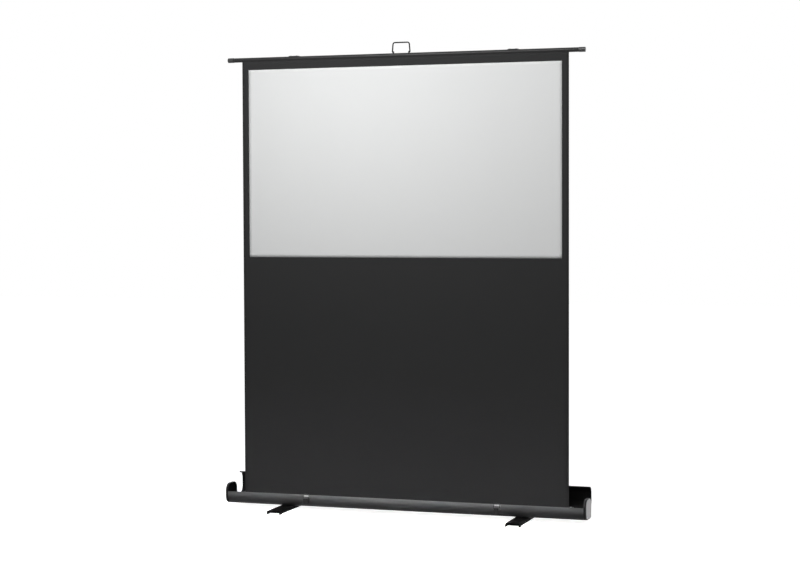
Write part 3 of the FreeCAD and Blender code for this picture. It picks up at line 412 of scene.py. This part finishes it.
# Two arms of one length stand on each other, so the bar drops twice as far as an elbow
def barTravel():
    fold = jointNamed("screen_fold")
    base, elbow = Vector(fold["pos_m"]), Vector(jointNamed("left_elbow")["pos_m"])
    reach, rise = elbow.x - base.x, elbow.z - base.z
    folded = math.atan2(rise, reach) - math.radians(fold["range_deg"][1])
    return 2 * (rise - math.hypot(reach, rise) * math.sin(folded))


def hangCloth():
    cloth = makeSheet("hungCloth", clothLow, clothHigh, clothShape["rows"], 0, blackCloth)
    picture = makeSheet("hungPicture", pictureLow, pictureHigh, clothShape["pictureRows"],
                        -clothShape["pictureGap"], whiteCoat)
    clothKeep = 1 - barTravel() / (clothHigh.z - clothLow.z)
    hung = ((cloth, "screen_cloth", "black_cloth", clothKeep),
            (picture, "picture_surface", "white_cloth", clothShape["rolledAway"]))
    for sheet, node, slot, keep in hung:
        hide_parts(node)
        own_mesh(sheet)


hangCloth()
print("cloth hung")

# Handle: one bent wire, drawn from the middle of its grip to one end and mirrored
handleLook = {"name": "handlePaint", "tint": (0.006, 0.006, 0.0061), "scale": 800, "spread": 0.1,
              "relief": 0.06, "roughness": 0.4, "specular": 0.06}
handleShape = {"radius": 0.0032, "sides": 20, "steps": 10, "width": 0.09, "height": 0.047,
               "lean": 4.9, "gripBend": 0.01, "footBend": 0.0036, "stub": 0.0085,
               "merge": 0.00001}


def bendOn(shape, ring, place, heading, radius, angle):
    centre = place + radius * (Matrix.Rotation(math.pi / 2, 3, "Y") @ heading)
    parts = bmesh.ops.spin(shape, geom=ring, cent=centre, axis=(0, 1, 0), angle=angle,
                           steps=handleShape["steps"])
    turn = Matrix.Rotation(angle, 3, "Y")
    return lastRing(parts["geom_last"]), centre + turn @ (place - centre), turn @ heading


def bendHandle():
    height = handleShape["height"]
    lean = math.radians(handleShape["lean"])
    grip = handleShape["width"] / 2 - height * math.tan(lean)
    gripTurn, footTurn = math.pi / 2 - lean, math.pi / 2 + lean
    gripCut = handleShape["gripBend"] * math.tan(gripTurn / 2)
    footCut = handleShape["footBend"] * math.tan(footTurn / 2)
    place = Vector(jointNamed("handle_fold")["pos_m"]) + Vector((0, 0, height))
    heading = Vector((1, 0, 0))
    shape = bmesh.new()
    bmesh.ops.create_circle(shape, segments=handleShape["sides"], radius=handleShape["radius"],
                            matrix=Matrix.Translation(place) @ Matrix.Rotation(math.pi / 2, 4, "Y"))
    ring = shape.edges[:]
    bends = ((grip - gripCut, handleShape["gripBend"], gripTurn),
             (height / math.cos(lean) - gripCut - footCut, handleShape["footBend"], footTurn))
    for length, radius, angle in bends:
        ring = drawOn(shape, ring, heading * length)
        place = place + heading * length
        ring, place, heading = bendOn(shape, ring, place, heading, radius, angle)
    ring = drawOn(shape, ring, heading * (handleShape["stub"] - footCut))
    bmesh.ops.contextual_create(shape, geom=ring)
    bmesh.ops.mirror(shape, geom=shape.verts[:] + shape.edges[:] + shape.faces[:], axis="X",
                     merge_dist=handleShape["merge"])
    bmesh.ops.recalc_face_normals(shape, faces=shape.faces[:])
    for face in shape.faces:
        face.smooth = len(face.verts) < handleShape["sides"]
    handle = addPiece("bentHandle", shape, makeMaterial(handleLook, coatGrain))
    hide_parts("handle_wire")
    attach(handle, "handle")


bendHandle()
print("handle bent")

# Rivets and screws, in pairs along X, that hold the small fittings
rivetShape = {
    "segments": 20, "rings": 10,
    "saddle": {"radius": 0.0036, "height": 0.0016, "spread": 0.015},
    "latch": {"radius": 0.0017, "height": 0.0008, "spread": 0.0045, "inset": 0.0035,
              "plate": 0.0015},
    "bracket": {"radius": 0.0042, "height": 0.0022, "spread": 0.019, "inset": 0.009,
                "sheet": 0.003},
}


def domeHeads(name, middles, normal, head, body, material):
    turn = Vector((0, 0, 1)).rotation_difference(Vector(normal)).to_matrix().to_4x4()
    scale = Matrix.Diagonal((head["radius"], head["radius"], head["height"], 1))
    shape = bmesh.new()
    for x, y, z in middles:
        for step in (-1, 1):
            spot = Matrix.Translation((x + step * head["spread"], y, z))
            bmesh.ops.create_uvsphere(shape, u_segments=rivetShape["segments"],
                                      v_segments=rivetShape["rings"], radius=1,
                                      matrix=spot @ turn @ scale)
    for face in shape.faces:
        face.smooth = True
    heads = addPiece(name, shape, material)
    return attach(heads, body)


def addFasteners():
    latch, bracket = rivetShape["latch"], rivetShape["bracket"]
    barLow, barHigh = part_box("bar_tube")
    barY = (barLow.y + barHigh.y) / 2
    plateY = frontLow.y - latch["plate"]
    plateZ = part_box("latch_bases")[1].z - latch["inset"]
    saddleSpots, latchSpots, screwSpots = [], [], []
    for side in ("left", "right"):
        low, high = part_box(f"{side}_saddle")
        saddleSpots.append(((low.x + high.x) / 2, barY, high.z))
        latchSpots.append((jointNamed(f"{side}_latch_swing")["pos_m"][0], plateY, plateZ))
        low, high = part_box(f"{side}_arm_bracket")
        screwSpots.append(((low.x + high.x) / 2, low.y + bracket["inset"],
                           low.z + bracket["sheet"]))
    domeHeads("saddleRivets", saddleSpots, (0, 0, 1), rivetShape["saddle"], "top_bar",
              brightSteel)
    domeHeads("latchRivets", latchSpots, (0, -1, 0), latch, "casing", zincPlate)
    domeHeads("bracketScrews", screwSpots, (0, 0, 1), bracket, "casing", zincPlate)


addFasteners()
print("fasteners added")

# Floor, world, lights and camera
floorLook = {"size": 40, "tint": (0.8, 0.8, 0.8), "roughness": 0.9, "specular": 0,
             "glowTint": (1, 1, 1), "glow": 0.92, "bounce": (0.06, 0.06, 0.06),
             "mirrored": (1, 1, 1)}
worldLook = {"soft": (0.14, 0.14, 0.14), "seen": (1, 1, 1)}
lightLook = {
    "spot": {"place": (-0.3, -1.2, 2.2), "target": (-0.3, 0, 2.1), "size": (0.7, 0.7),
             "power": 4.1, "spread": 180},
    "key": {"place": (-1.2, -3.8, 4.2), "target": (-0.2, 0, 1.2), "size": (2.4, 2.4),
            "power": 57, "spread": 180},
    "fill": {"place": (2.6, -5, 1.2), "target": (0, 0, 0.5), "size": (3, 3),
             "power": 27, "spread": 180},
    "top": {"place": (0.2, -2.2, 3.2), "target": (0.1, 0, 0.05), "size": (3, 0.4),
            "power": 39, "spread": 180},
    "beam": {"place": (0.1, -0.95, 3.3), "target": (0.1, -0.16, 0), "size": (3, 0.3),
             "power": 7, "spread": 10},
    "rim": {"place": (0, 2.5, 3.6), "target": (0, 0, 1.6), "size": (3, 3),
            "power": 16, "spread": 180},
}
cameraLook = {"place": (2.83007, -8.49115, 1.48218), "yaw": 18.524, "pitch": -2.241,
              "roll": -0.208, "lens": 82.59, "sensor": 36, "far": 100}


def mirroredRays(tree, path):
    return addMath(tree, "MAXIMUM", path.outputs["Is Glossy Ray"],
                   path.outputs["Is Transmission Ray"])


def mixBy(tree, share, first, second):
    mix = tree.nodes.new("ShaderNodeMixShader")
    for socket, value in zip(mix.inputs, (share, first, second)):
        tree.links.new(value, socket)
    return mix.outputs[0]


# The camera sees a white floor with the shadow, metal mirrors plain white, and little light
# comes back from the floor to the object
def addFloor():
    material = bpy.data.materials.new("paleFloor")
    material.use_nodes = True
    tree = material.node_tree
    shader = tree.nodes["Principled BSDF"]
    shader.inputs["Base Color"].default_value = (*floorLook["tint"], 1)
    shader.inputs["Roughness"].default_value = floorLook["roughness"]
    shader.inputs["Specular IOR Level"].default_value = floorLook["specular"]
    shader.inputs["Emission Color"].default_value = (*floorLook["glowTint"], 1)
    shader.inputs["Emission Strength"].default_value = floorLook["glow"]
    bounce = tree.nodes.new("ShaderNodeBsdfDiffuse")
    bounce.inputs["Color"].default_value = (*floorLook["bounce"], 1)
    plain = tree.nodes.new("ShaderNodeEmission")
    plain.inputs["Color"].default_value = (*floorLook["mirrored"], 1)
    path = tree.nodes.new("ShaderNodeLightPath")
    unseen = mixBy(tree, mirroredRays(tree, path), bounce.outputs[0], plain.outputs[0])
    surface = mixBy(tree, path.outputs["Is Camera Ray"], unseen, shader.outputs[0])
    tree.links.new(surface, tree.nodes["Material Output"].inputs["Surface"])
    shape = bmesh.new()
    bmesh.ops.create_grid(shape, x_segments=1, y_segments=1, size=floorLook["size"] / 2)
    floor = addPiece("floor", shape, material)


def setWorld():
    world = bpy.data.worlds.new("studio")
    bpy.context.scene.world = world
    world.use_nodes = True
    tree = world.node_tree
    soft = tree.nodes["Background"]
    soft.inputs["Color"].default_value = (*worldLook["soft"], 1)
    white = tree.nodes.new("ShaderNodeBackground")
    white.inputs["Color"].default_value = (*worldLook["seen"], 1)
    path = tree.nodes.new("ShaderNodeLightPath")
    seen = addMath(tree, "MAXIMUM", path.outputs["Is Camera Ray"], mirroredRays(tree, path))
    surface = mixBy(tree, seen, soft.outputs[0], white.outputs[0])
    tree.links.new(surface, tree.nodes["World Output"].inputs["Surface"])


def addLights():
    for name, look in lightLook.items():
        lamp = bpy.data.lights.new(name, "AREA")
        lamp.shape = "RECTANGLE"
        lamp.size, lamp.size_y = look["size"]
        lamp.energy = look["power"]
        lamp.spread = math.radians(look["spread"])
        holder = bpy.data.objects.new(name, lamp)
        holder.location = look["place"]
        aim = Vector(look["target"]) - Vector(look["place"])
        holder.rotation_euler = aim.to_track_quat("-Z", "Y").to_euler()
        holder.visible_camera = False
        bpy.context.scene.collection.objects.link(holder)


def addCamera():
    camera = bpy.data.cameras.new("photoCamera")
    camera.sensor_fit = "HORIZONTAL"
    camera.sensor_width = cameraLook["sensor"]
    camera.lens = cameraLook["lens"]
    camera.clip_end = cameraLook["far"]
    yaw, pitch, roll = (math.radians(cameraLook[turn]) for turn in ("yaw", "pitch", "roll"))
    ahead = Vector((-math.sin(yaw) * math.cos(pitch), math.cos(yaw) * math.cos(pitch),
                    math.sin(pitch)))
    level = Vector((math.cos(yaw), math.sin(yaw), 0))
    upright = level.cross(ahead)
    right = level * math.cos(roll) + upright * math.sin(roll)
    up = upright * math.cos(roll) - level * math.sin(roll)
    turned = Matrix((right, up, -ahead)).transposed().to_4x4()
    holder = bpy.data.objects.new("photoCamera", camera)
    holder.matrix_world = Matrix.Translation(cameraLook["place"]) @ turned
    bpy.context.scene.collection.objects.link(holder)
    bpy.context.scene.camera = holder


addFloor()
setWorld()
addLights()
addCamera()
bpy.context.scene.view_settings.view_transform = "Standard"
print("stage set")
